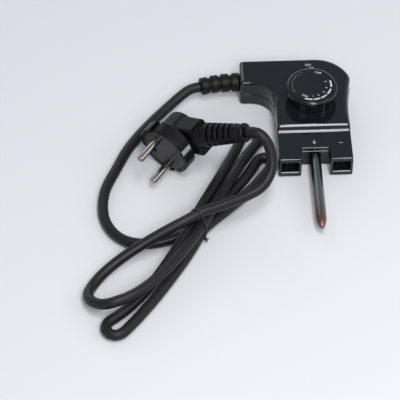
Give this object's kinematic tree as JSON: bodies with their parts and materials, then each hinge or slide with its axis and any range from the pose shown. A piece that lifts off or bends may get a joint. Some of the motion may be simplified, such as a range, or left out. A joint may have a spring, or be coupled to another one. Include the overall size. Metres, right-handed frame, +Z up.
{
  "type": "grill thermostat",
  "caption": "Plug-in grill thermostat: moulded control box with side arm, dial, socket legs, metal probe and a tied mains cord with a moulded plug",
  "frame": {"origin": "centre of the control box's bounding box, with probe and strain relief, on the surface it rests on", "axes": "+Z up through the dial, -Y the way the probe points, +X to the right seen from behind the dial; the cord leaves towards -X"},
  "size_m": [0.178, 0.2184, 0.0511],
  "materials": {
    "black_shell": "polished moulded shell",
    "zinc_steel": "zinc plated",
    "clear_lens": "translucent lens",
    "lamp_glass": "clear",
    "dial_black": "satin moulded",
    "dial_print": "printed satin disc",
    "spring_steel": "plain",
    "turned_brass": "turned",
    "plated_bracket": "pressed, plated",
    "probe_metal": "bright drawn tube with a heat tint",
    "bimetal_alloy": "rolled strip",
    "ceramic": "fired",
    "leaf_bronze": "rolled leaf",
    "contact_silver": "silver",
    "carrier_plastic": "moulded",
    "contact_brass": "folded sheet",
    "wire_brown": "glass fibre sleeve",
    "wire_blue": "glass fibre sleeve",
    "wire_green": "green and yellow sleeve",
    "cord_jacket": "satin round cord",
    "relief_rubber": "moulded",
    "tie_plastic": "plastic covered wire",
    "plug_vinyl": "moulded, fine satin",
    "pin_nickel": "nickel plated",
    "clip_steel": "pressed"
  },
  "bodies": {
    "housing": {"housing_base": "black_shell", "housing_top": "black_shell", "housing_screws": "zinc_steel", "pilot_lens": "clear_lens", "pilot_lamp": "lamp_glass", "spindle_bush": "turned_brass", "bracket": "plated_bracket", "bracket_screws": "zinc_steel", "probe_tube": "probe_metal", "probe_flange": "probe_metal", "bimetal_anchor": "probe_metal", "contact_lugs": "leaf_bronze", "stack_insulators": "ceramic", "stack_screw": "zinc_steel", "socket_carriers": "carrier_plastic", "socket_contact_left": "contact_brass", "socket_contact_right": "contact_brass", "earth_tag": "plated_bracket", "wire_live": "wire_brown", "wire_load": "wire_brown", "wire_neutral": "wire_blue", "wire_neutral_link": "zinc_steel", "wire_earth": "wire_green", "cord_jacket_end": "cord_jacket", "cord_clamp": "carrier_plastic", "clamp_screws": "zinc_steel", "strain_relief": "relief_rubber", "cord_lead": "cord_jacket", "cord_hank": "cord_jacket", "cord_tail": "cord_jacket", "cord_tie": "tie_plastic", "plug_body": "plug_vinyl", "plug_core": "carrier_plastic", "plug_pins": "pin_nickel", "plug_earth_clips": "clip_steel", "plug_earth_sleeve": "contact_brass"},
    "dial": {"dial_knob": "dial_black", "dial_disc": "dial_print", "knob_clip": "spring_steel"},
    "spindle_body": {"spindle": "turned_brass", "stop_washer": "zinc_steel"},
    "setting_leaf": {"setting_arm": "leaf_bronze", "upper_contact": "contact_silver"},
    "bimetal": {"bimetal_strip": "bimetal_alloy", "actuator_pin": "ceramic"},
    "contact_leaf": {"moving_arm": "leaf_bronze", "lower_contact": "contact_silver"}
  },
  "joints": [
    {"name": "dial_turn", "type": "hinge", "parent": "housing", "child": "dial", "pos_m": [0.02263, 0.033, 0.0204], "axis": [0, 0, -1], "range_deg": [0, 300]},
    {"name": "spindle_feed", "type": "slide", "parent": "dial", "child": "spindle_body", "axis": [0, 0, -1], "range_m": [0, 0.00042]},
    {"name": "setting_bend", "type": "hinge", "parent": "housing", "child": "setting_leaf", "pos_m": [0.02263, 0.048, 0.00915], "axis": [1, 0, 0], "range_deg": [0, 1.6]},
    {"name": "bimetal_bend", "type": "hinge", "parent": "housing", "child": "bimetal", "pos_m": [0.02263, -0.057, 0.0082], "axis": [-1, 0, 0], "range_deg": [0, 0.5], "stiffness_Nm_per_rad": 1},
    {"name": "contact_bend", "type": "hinge", "parent": "housing", "child": "contact_leaf", "pos_m": [0.02263, 0.048, 0.0055], "axis": [1, 0, 0], "range_deg": [0, 0.8]}
  ],
  "couplings": [
    {"joint": "spindle_feed", "follows": "dial_turn", "m_per_rad": 0.000079577},
    {"joint": "setting_bend", "follows": "dial_turn", "ratio": 0.005093},
    {"joint": "contact_bend", "follows": "bimetal_bend", "ratio": 1.5}
  ]
}
